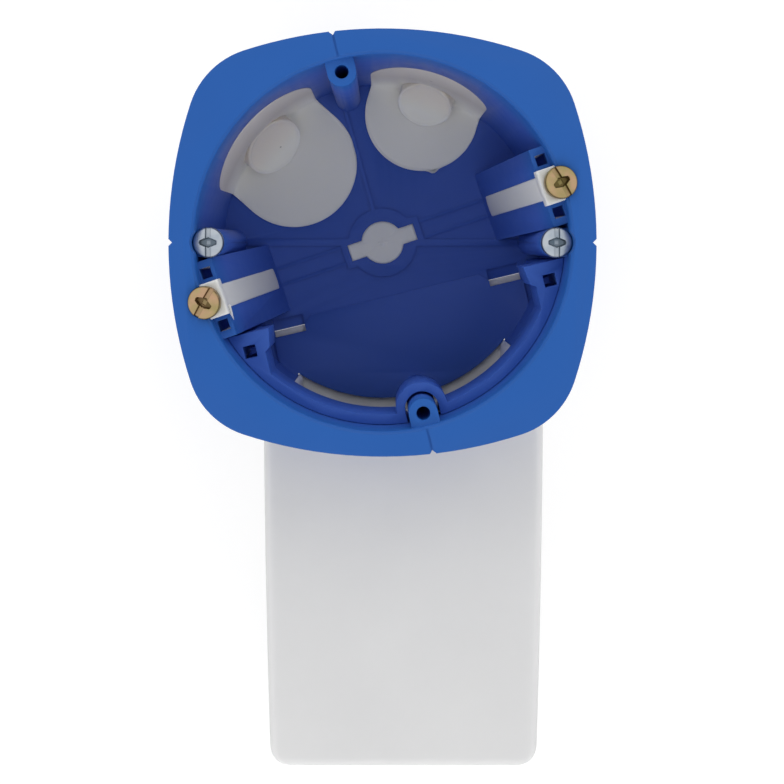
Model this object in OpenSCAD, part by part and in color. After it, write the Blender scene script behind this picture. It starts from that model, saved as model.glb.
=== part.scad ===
// Flush device box for a hollow wall, for a 68 mm hole. Millimetres.
// The flange lies flat on the wall: its back face is the plane z = 0, the body reaches back to
// negative z, and the origin is on the body's axis. +Y is up the wall, +X is to the right.

/* [Flange] */
// How far the flange reaches past the body at the middle of each side
flange_lap = 3.1; // [2:0.1:6]
// Thickness of the flange
flange_t = 1.5; // [1:0.1:3]
// Radius of the four bulging sides of the flange
side_r = 76; // [60:1:120]
// Radius of the rounded corners of the flange
corner_r = 14; // [8:0.5:18]
// Depth of the setting-out marks in the edge of the flange
mark_depth = 0.6; // [0.3:0.1:1]
// Width of the fine line that joins a mark to the bore
line_w = 0.4; // [0.2:0.1:1]
// Depth of the fine line
line_depth = 0.2; // [0.1:0.05:0.5]
// Width of the chamfer round the mouth of the bore
mouth_chamfer = 0.5; // [0.2:0.1:1]

/* [Body] */
// Outer diameter of the round body
body_d = 66.4; // [65:0.2:72]
// Wall of the round body
wall_t = 1.1; // [0.8:0.1:1.6]
// Depth of the body behind the wall plane
body_depth = 40; // [36:1:60]
// Thickness of the floor
floor_t = 1.5; // [1.3:0.1:3]
// Outer rounding between the wall and the floor
foot_r = 2; // [1:0.1:2.5]

/* [Device screws] */
// How far a device screw's axis lies inside the bore
device_in = 2.1; // [2:0.1:3]
// Turn of the inside of the body against the flange
inner_turn = 13.45; // [8:0.05:20]
// Radius of the free bosses and of the bosses under the device screws
boss_r = 2.5; // [2.2:0.1:3]
// Radius of the hole in a free boss
boss_hole_r = 1.2; // [1:0.05:1.5]
// Depth of the hole in a boss
boss_hole_depth = 26; // [20:1:32]
// Depth of a device screw's seat behind the wall plane
device_seat = 2.8; // [2:0.1:5]
// Diameter of a device screw's thread
device_screw_d = 3; // [2.5:0.1:3.5]
// Length of a device screw under its head
device_screw_len = 20; // [12:1:25]
// Diameter of a device screw's head
device_head_d = 5.3; // [4.8:0.1:5.8]
// Height of a device screw's head
device_head_h = 2; // [1.5:0.1:2.6]

/* [Claws] */
// Direction of the right claw, from +X; the other claw is opposite
claw_turn = 18.65; // [16:0.05:24]
// Width of a claw's channel across the body, over its walls
channel_w = 14; // [13:0.5:16]
// Wall of a claw's channel
channel_wall = 1.3; // [1:0.1:1.8]
// How far the channel's face stands in from the bore at its top
channel_in = 3.2; // [3:0.1:4]
// Lean of the channel's face
channel_lean = 10.5; // [9:0.1:14]
// Depth of the channel's top behind the wall plane
channel_top = 2; // [1:0.1:4]
// Thickness of the channel's top
channel_lid = 2; // [1.5:0.1:3]
// Side of the square holes in the channel's top
core_hole = 1.9; // [1:0.1:2.4]
// Lean of the claw screw
claw_lean = 8; // [6:0.1:8.5]
// How far the claw screw's axis lies inside the bore, at the seat of its head
claw_in = 0.4; // [0.2:0.1:0.8]
// Height of the seat of the claw screw's head in front of the wall plane
claw_seat = 1.1; // [0.9:0.05:1.3]
// Diameter of the claw screw's thread
claw_screw_d = 3; // [2.5:0.1:3.2]
// Height of the claw screw's tip above the floor
claw_tip_gap = 3; // [2.8:0.1:8]
// Diameter of the claw screw's head
claw_head_d = 5.6; // [5:0.1:6]
// Height of the claw screw's head
claw_head_h = 1.8; // [1.4:0.1:2.4]
// Width of the slots in the screws' heads
slot_w = 0.8; // [0.6:0.1:1]
// Length of the short arm across a screw's slot
cross_len = 2.8; // [2:0.1:3.4]
// Depth of that short arm
cross_deep = 1.1; // [0.8:0.1:1.2]
// Direction of the slot in the left claw screw's head
left_slot_at = 60; // [0:1:180]
// Direction of the slot in the right claw screw's head
right_slot_at = 121; // [0:1:180]
// Width of the window in the wall through which a claw swings out
window_w = 7.4; // [6.6:0.2:10]
// How far under the channel's lid that window starts
window_gap = 4; // [2:0.5:6]
// Height of the claw's threaded barrel
barrel_h = 6; // [5:0.5:8]
// Outer radius of the claw's threaded barrel
barrel_r = 2.1; // [1.9:0.05:2.2]
// Thickness of the claw's plate
plate_t = 1.6; // [1:0.1:2.4]
// How far the claw's plate reaches out from the screw's axis
plate_reach = 5.6; // [4:0.1:5.8]
// Height of the teeth along the plate's edge
tooth_h = 1.4; // [0.8:0.1:2]
// Number of teeth on a claw
teeth = 4; // [2:1:6]

/* [Cable entries] */
// Direction of the large entry
large_turn = 138.5; // [134:0.5:142]
// Half the angle that the large entry takes up in the wall
large_half = 23.5; // [18:0.5:25]
// How far the centre of the large entry's window lies in from the bore
large_in = 8; // [6:0.1:9]
// Height of the large entry's arch in the wall, from the floor to its centre
large_rise = 16.5; // [12:0.5:18]
// Direction of the small entry
small_turn = 73; // [70:0.5:75]
// Half the angle that the small entry takes up in the wall
small_half = 21; // [15:0.5:22]
// How far the centre of the small entry's window lies in from the bore
small_in = 4.8; // [3:0.1:7]
// Height of the small entry's arch in the wall, from the floor to its centre
small_rise = 15; // [10:0.5:17]
// Thickness of the soft skin
skin_t = 1; // [0.8:0.1:1.2]
// Radius of the large entry's round target, which stands across the corner
large_target_r = 6.2; // [5:0.1:6.5]
// Radius of the small entry's round target
small_target_r = 5.5; // [4.5:0.1:6]
// How far in from the wall a target's edge meets the floor
target_foot = 7.2; // [6:0.1:7.8]
// How far a target's edge is let into the floor and the wall
target_sink = 0.2; // [0.1:0.05:0.4]
// Wall of the target's short tube
target_wall = 0.6; // [0.4:0.1:1]

/* [Centre membrane] */
// Radius of the round part of the keyhole
key_r = 4.3; // [3:0.1:5]
// Length of the keyhole over its two lugs
key_len = 14; // [11:0.5:16]
// Width of a lug of the keyhole
key_w = 3.4; // [2:0.1:4]
// Width of the raised collar round the keyhole
collar_w = 2.6; // [1:0.1:3]
// Height of the collar and of the ribs on the floor
collar_h = 0.5; // [0.2:0.1:1]
// Width of the rib between the collar and a device boss
rib_w = 1.3; // [0.6:0.1:2]

/* [Lower panel] */
// Height of the raised lower panel above the floor
panel_h = 0.5; // [0.2:0.1:1]
// Distance of the panel's straight edge below the body's axis
panel_low = 10.9; // [10:0.1:11.5]
// Half the length of the panel's straight edge
panel_half = 17.5; // [15:0.5:20]
// How far the panel's wings and the pocket's tongue start below the panel's edge
tongue_drop = 1.6; // [1.2:0.1:2.5]
// How far the pocket's tongue reaches out past the inside of the retainer's ends
tongue_over = 3; // [2:0.1:3.5]
// Width of the slits through which the tongue shows
slit_w = 0.9; // [0.5:0.1:1.2]
// Length of the slits
slit_len = 6.4; // [4:0.1:8]
// Distance of a slit from the edges of the tongue
slit_edge = 0.4; // [0.3:0.1:0.8]
// Width of the sunk field above a slit
slit_field = 2.6; // [1:0.1:3]

/* [Claw seals] */
// Width of the soft pad under a claw screw's head
pad_w = 6.2; // [4.5:0.1:7]
// Width of the soft strip down the channel's face
strip_w = 3.6; // [3.2:0.1:5]
// Height of the strip's lower end above the floor
strip_low = 3.2; // [2.6:0.2:8]
// How far the strip stands proud of the channel's face
strip_proud = 0.4; // [0.1:0.1:0.8]
// How deep the strip is let into the channel's face
strip_sunk = 0.4; // [0.2:0.1:0.5]

/* [Pocket] */
// How much narrower the pocket is than the body
pocket_less = 13.8; // [11:0.2:18]
// How much narrower the pocket is at its lower end than at the body
pocket_taper = 3.2; // [0:0.1:6]
// How far the middle of the pocket lies to the right of the body's axis
pocket_off = 3.9; // [0:0.1:6]
// Reach of the pocket below the body's axis
pocket_reach = 97.3; // [70:0.5:110]
// Depth of the pocket's front behind the wall plane
pocket_front = 17; // [14:0.5:20]
// Radius of the pocket's lower corners, seen from the front
pocket_corner = 3.7; // [3:0.1:6]
// Rounding along the pocket's edges
pocket_edge = 1.5; // [0.8:0.1:2]
// Distance between the side of the pocket and the side of its mouth
mouth_margin = 5.3; // [4.5:0.1:10]
// Height of the pocket's mouth above the floor
mouth_h = 19.2; // [12:0.2:20]
// Wall of the rim that lines the mouth
rim_t = 0.8; // [0.5:0.1:1.2]
// Thickness of the lip that stands up inside the wall
lip_t = 0.4; // [0.3:0.05:0.45]
// Height of that lip above the mouth
lip_h = 10.5; // [6:0.5:12]

/* [Pocket retainer] */
// Thickness of the retainer's wall
retainer_t = 1.2; // [0.8:0.1:2]
// Gap between the retainer and the bore, which the pocket's lip fills
retainer_gap = 0.6; // [0.5:0.05:1]
// Depth of the retainer's top behind the wall plane
retainer_top = 6; // [4:0.5:10]
// Height of the retainer
retainer_h = 10; // [8:0.5:11]
// Gap between the retainer's left end and the claw's channel
retainer_end_gap = 0.1; // [0.05:0.05:0.5]
// How far the retainer's end blocks reach in from the bore, sideways
retainer_end_in = 9.1; // [8:0.1:10]
// Height of the narrow part of an end block
retainer_end_h = 3.3; // [2.6:0.1:5]
// Slope of an end block's inner side
end_draft = 0.6; // [0.2:0.1:1.2]
// Step from an end block's inner side to its broad part
end_step = 1.5; // [1.3:0.1:2]
// Thickness of the feet on which the retainer stands
foot_t = 2.2; // [1.4:0.1:3]
// Wall of the loop round the lower boss
loop_t = 1.6; // [1:0.1:2]
// Side of the square notch in each end block
notch = 2.2; // [1:0.1:2.4]
// How far the middle of a notch lies inside the retainer's outer side
notch_in = 1.3; // [1.2:0.1:1.6]

/* [Fits] */
// Radial clearance of a screw in its hole
run_gap = 0.05; // [0.02:0.01:0.1]
// Clearance between a screw's head and what lies under it
seat_gap = 0.05; // [0.02:0.01:0.1]
// Clearance between pieces that slot together
slot_gap = 0.1; // [0.05:0.05:0.3]
// Clearance round what moves
move_gap = 0.3; // [0.2:0.05:0.4]

/* [Hidden] */
$fn = 96;
eps = 0.01;

shell_blue = [0.19, 0.38, 0.68];
clip_blue = [0.15, 0.26, 0.56];
soft_white = [0.80, 0.80, 0.80];
yellow_zinc = [0.68, 0.60, 0.38];
white_zinc = [0.62, 0.67, 0.72];

body_r = body_d / 2;
bore_r = body_r - wall_t;
floor_z = -body_depth + floor_t;
large_r = bore_r * sin(large_half);
small_r = bore_r * sin(small_half);
flange_half = body_r + flange_lap;
side_off = side_r - flange_half;
// The corner circle touches two side arcs from inside: both centres and the touching point
// lie on one line, which gives the corner's centre and the line's direction.
corner_gap = side_r - corner_r;
corner_c = (sqrt(2 * corner_gap * corner_gap - side_off * side_off) - side_off) / 2;
corner_turn = atan2(corner_c, corner_c + side_off);
device_r = bore_r - device_in;
boss_turn = 90 + inner_turn;
boss_clear_r = boss_r + 0.5;

channel_face = bore_r - channel_in;
channel_top_z = -channel_top;
channel_half = channel_w / 2;
channel_inside = channel_half - channel_wall;
channel_cos = cos(channel_lean);
claw_axis_r = bore_r - claw_in;
claw_plate_half = window_w / 2 - move_gap;
claw_screw_len = (claw_seat - floor_z - claw_tip_gap) / cos(claw_lean);
barrel_low = -claw_screw_len;
strip_len = (channel_top_z - floor_z - strip_low) / channel_cos;
core_hole_off = channel_half - core_hole / 2 - channel_wall;

pocket_w = body_d - pocket_less;
pocket_low_w = pocket_w - pocket_taper;
mouth_w = pocket_w - 2 * mouth_margin;

retainer_out = bore_r - retainer_gap;
retainer_in = retainer_out - retainer_t;
retainer_z = -retainer_top - retainer_h;
// The left claw's channel leans this far over the line on which the retainer's ends stand
end_turn = claw_turn - inner_turn;
retainer_start = bore_r * sin(end_turn) + channel_half * cos(end_turn) + retainer_end_gap;
retainer_half = bore_r - retainer_end_in;
retainer_low = retainer_start + retainer_end_h;
notch_at = sqrt(pow(retainer_out - notch_in, 2) - pow(retainer_low, 2));
tongue_half = retainer_half + tongue_over;
tongue_start = panel_low + tongue_drop;
slit_start = tongue_start + slit_edge;
lip_out = bore_r - slot_gap;
lip_in = lip_out - lip_t;
lip_top_z = floor_z + mouth_h + lip_h;

// Distance from the axis to the flange's edge, a degrees off the middle of a side
function edge_r(a) = sqrt(pow(side_r, 2) - pow(side_off * sin(a), 2)) - side_off * cos(a);
// Distance from the axis to the channel's face at height z
function face_at(z) = channel_face + (z - channel_top_z) * tan(channel_lean);

// Frames: one along a direction, one on a claw screw, one on a channel's face
module along(turn) {
    rotate([0, 0, turn]) children();
}

module on_claw_screw(turn) {
    along(turn)
        translate([claw_axis_r, 0, claw_seat])
            rotate([0, claw_lean, 0])
                children();
}

module on_channel_face(turn) {
    along(turn)
        translate([channel_face, 0, channel_top_z])
            rotate([0, channel_lean, 0])
                children();
}

// A block between two corners
module block(low, high) {
    translate(low) cube(high - low);
}

// A ring between two radii and two heights
module ring(r_in, r_out, z_low, z_high) {
    difference() {
        translate([0, 0, z_low]) cylinder(r = r_out, h = z_high - z_low);
        translate([0, 0, z_low - 1]) cylinder(r = r_in, h = z_high - z_low + 2);
    }
}

// Flange
module corner_sliver() {
    reach = 2 * corner_r;
    far = corner_c + reach;
    difference() {
        polygon([
            [corner_c, corner_c],
            [corner_c + reach * cos(corner_turn), corner_c + reach * sin(corner_turn)],
            [far, far],
            [corner_c + reach * sin(corner_turn), corner_c + reach * cos(corner_turn)]
        ]);
        translate([corner_c, corner_c]) circle(r = corner_r);
    }
}

module flange_outline() {
    difference() {
        intersection_for(k = [0:3])
            rotate(90 * k) translate([-side_off, 0]) circle(r = side_r, $fn = 180);
        for (k = [0:3])
            rotate(90 * k) corner_sliver();
    }
}

module edge_mark(turn, off_side) {
    mark_r = edge_r(off_side);
    along(turn)
        translate([mark_r, 0, flange_t / 2])
            rotate([0, 0, 45])
                cube([mark_depth * sqrt(2), mark_depth * sqrt(2), flange_t + 1], center = true);
}

module flange() {
    difference() {
        linear_extrude(flange_t) flange_outline();
        for (k = [0:1]) {
            edge_mark(180 * k, 0);
            edge_mark(boss_turn + 180 * k, inner_turn);
            along(boss_turn + 180 * k)
                block([bore_r, -line_w / 2, flange_t - line_depth],
                      [edge_r(inner_turn) + 1, line_w / 2, flange_t + 1]);
        }
    }
}

// Body
module body_profile() {
    translate([0, -body_depth + foot_r]) square([body_r, body_depth - foot_r + eps]);
    translate([0, -body_depth]) square([body_r - foot_r, foot_r + eps]);
    translate([body_r - foot_r, -body_depth + foot_r]) circle(r = foot_r);
}

module body_solid() {
    rotate_extrude() body_profile();
}

module body_shell() {
    difference() {
        union() {
            flange();
            body_solid();
        }
        translate([0, 0, floor_z]) cylinder(r = bore_r, h = body_depth + flange_t + 1);
        translate([0, 0, flange_t - mouth_chamfer])
            cylinder(r1 = bore_r, r2 = bore_r + 2 * mouth_chamfer, h = 2 * mouth_chamfer);
    }
}

// The space that a cable entry takes from the wall and the floor: a round window in the floor
// that runs out to the wall, and an arch in the wall that stands on the floor
module entry_space(turn, r, inset, rise) {
    along(turn) {
        translate([bore_r - inset, 0, -body_depth - 1]) cylinder(r = r, h = floor_t + 1 + eps);
        block([bore_r - inset, -r, -body_depth - 1], [body_r + 1, r, floor_z + eps]);
        translate([bore_r - wall_t, 0, floor_z + rise])
            rotate([0, 90, 0]) cylinder(r = r, h = 4 * wall_t);
        block([bore_r - wall_t, -r, -body_depth - 1], [bore_r + 3 * wall_t, r, floor_z + rise]);
    }
}

module large_entry_space() {
    entry_space(large_turn, large_r, large_in, large_rise);
}

module small_entry_space() {
    entry_space(small_turn, small_r, small_in, small_rise);
}

// Bosses, from the floor up, each with a web to the wall
module boss(turn, top_z, r) {
    along(turn) {
        translate([device_r, 0, floor_z - eps]) cylinder(r = r, h = top_z - floor_z + eps);
        block([device_r, -r, floor_z - eps], [bore_r + wall_t / 2, r, top_z]);
    }
}

module boss_hole(turn, top_z, r) {
    along(turn)
        translate([device_r, 0, top_z - boss_hole_depth]) cylinder(r = r, h = boss_hole_depth + 1);
}

module bosses() {
    for (k = [0:1]) {
        boss(boss_turn + 180 * k, 0, boss_r);
        boss(180 * k, -device_seat, boss_r);
    }
}

module boss_holes() {
    for (k = [0:1]) {
        boss_hole(boss_turn + 180 * k, 0, boss_hole_r);
        boss_hole(180 * k, -device_seat, device_screw_d / 2 + run_gap);
        along(180 * k)
            translate([device_r, 0, -device_seat])
                cylinder(r = device_head_d / 2 + slot_gap, h = device_seat + flange_t + 1);
    }
}

// A claw's channel: a wedge on the inside of the wall, hollow from outside
module channel_block(turn) {
    low_z = floor_z - eps;
    intersection() {
        along(turn)
            rotate([90, 0, 0])
                linear_extrude(channel_w, center = true)
                    polygon([
                        [channel_face, channel_top_z],
                        [bore_r + wall_t / 2, channel_top_z],
                        [bore_r + wall_t / 2, low_z],
                        [face_at(low_z), low_z]
                    ]);
        translate([0, 0, low_z - 1]) cylinder(r = bore_r + wall_t / 2, h = body_depth);
    }
}

module channel_hollow(turn) {
    lid_z = channel_top_z - channel_lid;
    skin = channel_wall / channel_cos;
    along(turn) {
        rotate([90, 0, 0])
            linear_extrude(2 * channel_inside, center = true)
                polygon([
                    [face_at(lid_z) + skin, lid_z],
                    [bore_r, lid_z],
                    [bore_r, floor_z],
                    [face_at(floor_z) + skin, floor_z]
                ]);
        block([bore_r - wall_t, -window_w / 2, floor_z],
              [body_r + 1, window_w / 2, lid_z - window_gap]);
        for (side = [-1, 1])
            translate([bore_r - channel_in / 2, side * core_hole_off, lid_z])
                cube([core_hole, core_hole, 4 * channel_lid], center = true);
    }
    on_channel_face(turn) {
        block([-1, -strip_w / 2, -strip_len], [strip_sunk, strip_w / 2, 1]);
        block([-1, -strip_w / 2 + strip_sunk, -strip_len + 1],
              [2 * channel_wall, strip_w / 2 - strip_sunk, -2 * channel_lid]);
    }
    on_claw_screw(turn) {
        translate([0, 0, -claw_screw_len - 1])
            cylinder(r = claw_screw_d / 2 + run_gap, h = claw_screw_len + 2);
        translate([0, 0, -seat_gap])
            cylinder(r = claw_head_d / 2 + slot_gap, h = claw_head_h + 2);
    }
}

// Floor
module keyhole() {
    circle(r = key_r);
    square([key_len, key_w], center = true);
}

module collar() {
    along(claw_turn) {
        translate([0, 0, floor_z - eps])
            linear_extrude(collar_h + eps) {
                circle(r = key_r + collar_w);
                square([key_len + collar_w, key_w + collar_w], center = true);
            }
    }
}

module floor_rib(turn, r_from, r_to, w) {
    along(turn) block([r_from, -w / 2, floor_z - eps], [r_to, w / 2, floor_z + collar_h]);
}

module floor_ribs() {
    collar_r = key_r + collar_w - eps;
    for (k = [0:1]) {
        floor_rib(180 * k, collar_r, device_r - boss_r, rib_w);
        for (side = [-1, 1])
            along(claw_turn + 180 * k)
                block([collar_r, side * key_w / 2 - rib_w / 4, floor_z - eps],
                      [face_at(floor_z) + eps, side * key_w / 2 + rib_w / 4,
                       floor_z + collar_h / 2]);
    }
    floor_rib((large_turn + small_turn) / 2, collar_r, bore_r + eps, rib_w / 2);
}

module panel_outline() {
    shoulder = panel_half + tongue_drop;
    polygon([
        [-panel_half, -panel_low], [panel_half, -panel_low],
        [shoulder, -tongue_start], [tongue_half, -tongue_start],
        [tongue_half, -body_r], [-tongue_half, -body_r],
        [-tongue_half, -tongue_start], [-shoulder, -tongue_start]
    ]);
}

module panel() {
    intersection() {
        along(inner_turn)
            translate([0, 0, floor_z - eps]) linear_extrude(panel_h + eps) panel_outline();
        translate([0, 0, floor_z - 1]) cylinder(r = bore_r + eps, h = 2 + panel_h);
    }
}

module slits() {
    along(inner_turn)
        for (side = [-1, 1])
            translate([side * (tongue_half - slit_edge - slit_len / 2), 0, 0]) {
                block([-slit_len / 2, -slit_start - slit_w, -body_depth - 1],
                      [slit_len / 2, -slit_start, floor_z + 2 * panel_h]);
                block([-slit_len / 2, -slit_start, floor_z - floor_t / 2],
                      [slit_len / 2, -slit_start + slit_field, floor_z + 2 * panel_h]);
            }
}

// Where the pocket passes the wall, and where its tongue lies behind the floor
module mouth_space(grow) {
    block([pocket_off - mouth_w / 2 - grow, -body_r - 2, -body_depth - 1],
          [pocket_off + mouth_w / 2 + grow, -bore_r / 2, floor_z + mouth_h + grow]);
}

module housing_mouth() {
    difference() {
        mouth_space(0);
        translate([0, 0, -body_depth - 2]) cylinder(r = lip_in - slot_gap, h = body_depth + 2);
    }
}

module tongue_outline(grow) {
    along(inner_turn)
        polygon([
            [-tongue_half - grow, -tongue_start + grow], [tongue_half + grow, -tongue_start + grow],
            [tongue_half + grow, -body_r], [-tongue_half - grow, -body_r]
        ]);
}

module housing() {
    color(shell_blue)
        difference() {
            union() {
                difference() {
                    body_shell();
                    large_entry_space();
                    small_entry_space();
                }
                bosses();
                for (k = [0:1])
                    channel_block(claw_turn + 180 * k);
                collar();
                floor_ribs();
                panel();
            }
            boss_holes();
            for (k = [0:1])
                channel_hollow(claw_turn + 180 * k);
            along(claw_turn)
                translate([0, 0, -body_depth - 1]) linear_extrude(body_depth) keyhole();
            slits();
            housing_mouth();
            translate([0, 0, -body_depth - 1]) linear_extrude(1 + skin_t) tongue_outline(0);
        }
}

// Soft skin of a cable entry: it fills the window and the arch, and a short tube stands across
// the corner with the round target on its end
module entry_membrane(turn, r, inset, rise, face_r) {
    difference() {
        union() {
            intersection() {
                entry_space(turn, r, inset, rise);
                difference() {
                    translate([0, 0, floor_z - skin_t])
                        cylinder(r = bore_r + skin_t, h = body_depth);
                    translate([0, 0, floor_z]) cylinder(r = bore_r, h = body_depth);
                }
            }
            intersection() {
                target_tube(turn, face_r, face_r, 0);
                translate([0, 0, floor_z - skin_t])
                    cylinder(r = bore_r + skin_t, h = body_depth);
            }
        }
        target_tube(turn, face_r, face_r - target_wall, -target_wall);
    }
}

// A cylinder behind the face of a target. The face's radius is face_r, and its edge meets the
// floor at target_foot from the wall and the wall at target_head above the floor.
module target_tube(turn, face_r, r, top) {
    target_head = sqrt(pow(2 * face_r, 2) - pow(target_foot, 2));
    along(turn)
        translate([bore_r - target_foot / 2, 0, floor_z + target_head / 2])
            rotate([0, -atan2(target_head, target_foot), 0])
                translate([0, 0, -2 * face_r]) cylinder(r = r, h = 2 * face_r - target_sink + top);
}

module large_entry_membrane() {
    color(soft_white) entry_membrane(large_turn, large_r, large_in, large_rise, large_target_r);
}

module small_entry_membrane() {
    color(soft_white) entry_membrane(small_turn, small_r, small_in, small_rise, small_target_r);
}

module centre_membrane() {
    color(soft_white)
        along(claw_turn)
            translate([0, 0, floor_z - skin_t]) linear_extrude(skin_t) keyhole();
}

// Soft seal of a claw screw: a pad round the screw and a strip down the channel's face
module claw_seal(turn) {
    color(soft_white)
        difference() {
            union() {
                intersection() {
                    along(turn)
                        block([channel_face - strip_proud, -pad_w / 2, channel_top_z],
                              [bore_r + 1, pad_w / 2, claw_seat + 1]);
                    translate([0, 0, -body_depth]) cylinder(r = bore_r, h = 2 * body_depth);
                }
                on_channel_face(turn)
                    block([-strip_proud, -strip_w / 2, -strip_len], [strip_sunk, strip_w / 2, 0]);
                on_channel_face(turn)
                    block([-strip_proud, -strip_w / 2, -1], [0, strip_w / 2, 1]);
            }
            on_claw_screw(turn) {
                translate([0, 0, -claw_screw_len])
                    cylinder(r = claw_screw_d / 2 + run_gap, h = claw_screw_len + 1);
                translate([0, 0, -seat_gap]) cylinder(r = 2 * claw_head_d, h = 4);
            }
        }
}

module claw_seal_left() {
    claw_seal(claw_turn + 180);
}

module claw_seal_right() {
    claw_seal(claw_turn);
}

// A pan head on a plain shank, with a slot and a short arm across it. Its seat is at z = 0.
module screw(d, length, head_d, head_h, slot_turn) {
    head_r = head_d / 2;
    crown = 0.35 * head_h;
    crown_r = (head_r * head_r + crown * crown) / (2 * crown);
    difference() {
        union() {
            translate([0, 0, -length]) cylinder(r = d / 2, h = length + eps);
            intersection() {
                cylinder(r = head_r, h = head_h);
                translate([0, 0, head_h - crown_r]) sphere(r = crown_r);
            }
        }
        rotate([0, 0, slot_turn]) {
            block([-head_d, -slot_w / 2, head_h - slot_w], [head_d, slot_w / 2, 2 * head_h]);
            block([-slot_w / 2, -cross_len / 2, head_h - cross_deep],
                  [slot_w / 2, cross_len / 2, 2 * head_h]);
        }
    }
}

module claw_screw(turn, slot_at) {
    color(yellow_zinc)
        on_claw_screw(turn)
            screw(claw_screw_d, claw_screw_len, claw_head_d, claw_head_h, slot_at - turn);
}

module claw_screw_left() {
    claw_screw(claw_turn + 180, left_slot_at);
}

module claw_screw_right() {
    claw_screw(claw_turn, right_slot_at);
}

// Claw: a threaded barrel on the screw and a plate with teeth that reaches out of the channel
module claw(turn) {
    plate_low = barrel_low + barrel_h - plate_t;
    tooth_w = 2 * claw_plate_half / teeth;
    color(yellow_zinc)
        on_claw_screw(turn)
            difference() {
                union() {
                    translate([0, 0, barrel_low]) cylinder(r = barrel_r, h = barrel_h);
                    block([-barrel_r / 2, -claw_plate_half, plate_low],
                          [plate_reach, claw_plate_half, plate_low + plate_t]);
                    for (k = [0:teeth - 1])
                        translate([plate_reach - plate_t, (k + 0.5) * tooth_w - claw_plate_half,
                                   plate_low + plate_t - eps])
                            rotate([90, 0, 90])
                                linear_extrude(plate_t)
                                    polygon([[-tooth_w / 2, 0], [tooth_w / 2, 0], [0, tooth_h]]);
                }
                translate([0, 0, barrel_low - 1])
                    cylinder(r = claw_screw_d / 2 + run_gap, h = barrel_h + 2);
            }
}

module claw_left() {
    claw(claw_turn + 180);
}

module claw_right() {
    claw(claw_turn);
}

module device_screw(turn) {
    color(white_zinc)
        along(turn)
            translate([device_r, 0, -device_seat])
                screw(device_screw_d, device_screw_len, device_head_d, device_head_h, 90);
}

module device_screw_left() {
    device_screw(180);
}

module device_screw_right() {
    device_screw(0);
}

// Pocket retainer: an arc inside the lower wall, a loop round the lower boss, and two end blocks
// that stand on the floor. Above the pocket's lip it reaches out to the wall.
module retainer_outline(out_r) {
    broad_half = retainer_half + end_step;
    broad_low = sqrt(pow(retainer_in, 2) - pow(broad_half, 2));
    intersection() {
        circle(r = out_r);
        union() {
            difference() {
                translate([-body_r, -2 * body_r])
                    square([2 * body_r, 2 * body_r - retainer_low]);
                circle(r = retainer_in);
            }
            for (side = [-1, 1])
                polygon([
                    [side * retainer_half, -retainer_start],
                    [side * (retainer_half + end_draft), -retainer_low],
                    [side * broad_half, -retainer_low - end_draft],
                    [side * broad_half, -broad_low],
                    [side * body_r, -broad_low],
                    [side * body_r, -retainer_start]
                ]);
            translate([0, -device_r]) circle(r = boss_clear_r + loop_t);
        }
    }
}

module pocket_retainer() {
    color(clip_blue)
        along(inner_turn)
            difference() {
                union() {
                    translate([0, 0, retainer_z])
                        linear_extrude(retainer_h) retainer_outline(retainer_out);
                    translate([0, 0, lip_top_z + slot_gap])
                        linear_extrude(-retainer_top - lip_top_z - slot_gap)
                            retainer_outline(lip_out);
                    intersection() {
                        ring(retainer_out - foot_t, retainer_out, floor_z, retainer_z + eps);
                        block([-body_r, -retainer_low, floor_z - 1],
                              [body_r, -retainer_start - move_gap, 0]);
                    }
                }
                translate([0, 0, retainer_z - 1])
                    linear_extrude(retainer_h + 2) {
                        translate([0, -device_r]) circle(r = boss_clear_r);
                        translate([0, -device_r - boss_clear_r])
                            square([2 * boss_clear_r, 2 * boss_clear_r], center = true);
                        for (side = [-1, 1])
                            translate([side * notch_at, -retainer_low])
                                square(notch, center = true);
                    }
            }
}

// Pocket: a soft hollow bag behind the wall, open through the mouth into the body
module pocket_plan_corners() {
    for (side = [-1, 1]) {
        translate([pocket_off + side * (pocket_w / 2 - pocket_corner), -bore_r / 2, 0])
            children();
        translate([pocket_off + side * (pocket_low_w / 2 - pocket_corner),
                   -pocket_reach + pocket_corner, 0])
            children();
    }
}

module pocket_outer() {
    hull()
        pocket_plan_corners()
            for (z = [-body_depth + pocket_edge, -pocket_front - pocket_edge])
                translate([0, 0, z])
                    rotate_extrude($fn = 32)
                        translate([pocket_corner - pocket_edge, 0]) circle(r = pocket_edge, $fn = 16);
}

module pocket_inner() {
    inner_corner = pocket_corner - skin_t;
    hull()
        pocket_plan_corners()
            translate([0, 0, -body_depth + skin_t])
                cylinder(r = inner_corner, h = body_depth - pocket_front - 2 * skin_t, $fn = 32);
}

module pocket_mouth_rim() {
    intersection() {
        ring(lip_in, body_r + 1 + eps, -body_depth, 0);
        difference() {
            mouth_space(-slot_gap);
            mouth_space(-slot_gap - rim_t);
        }
        block([-2 * body_r, -2 * body_r, -body_depth], [2 * body_r, 0, 0]);
    }
    intersection() {
        ring(lip_in, lip_out, floor_z + mouth_h - slot_gap - rim_t, lip_top_z);
        block([pocket_off - mouth_w / 2 + slot_gap, -2 * body_r, -body_depth],
              [pocket_off + mouth_w / 2 - slot_gap, 0, 0]);
    }
}

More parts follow.
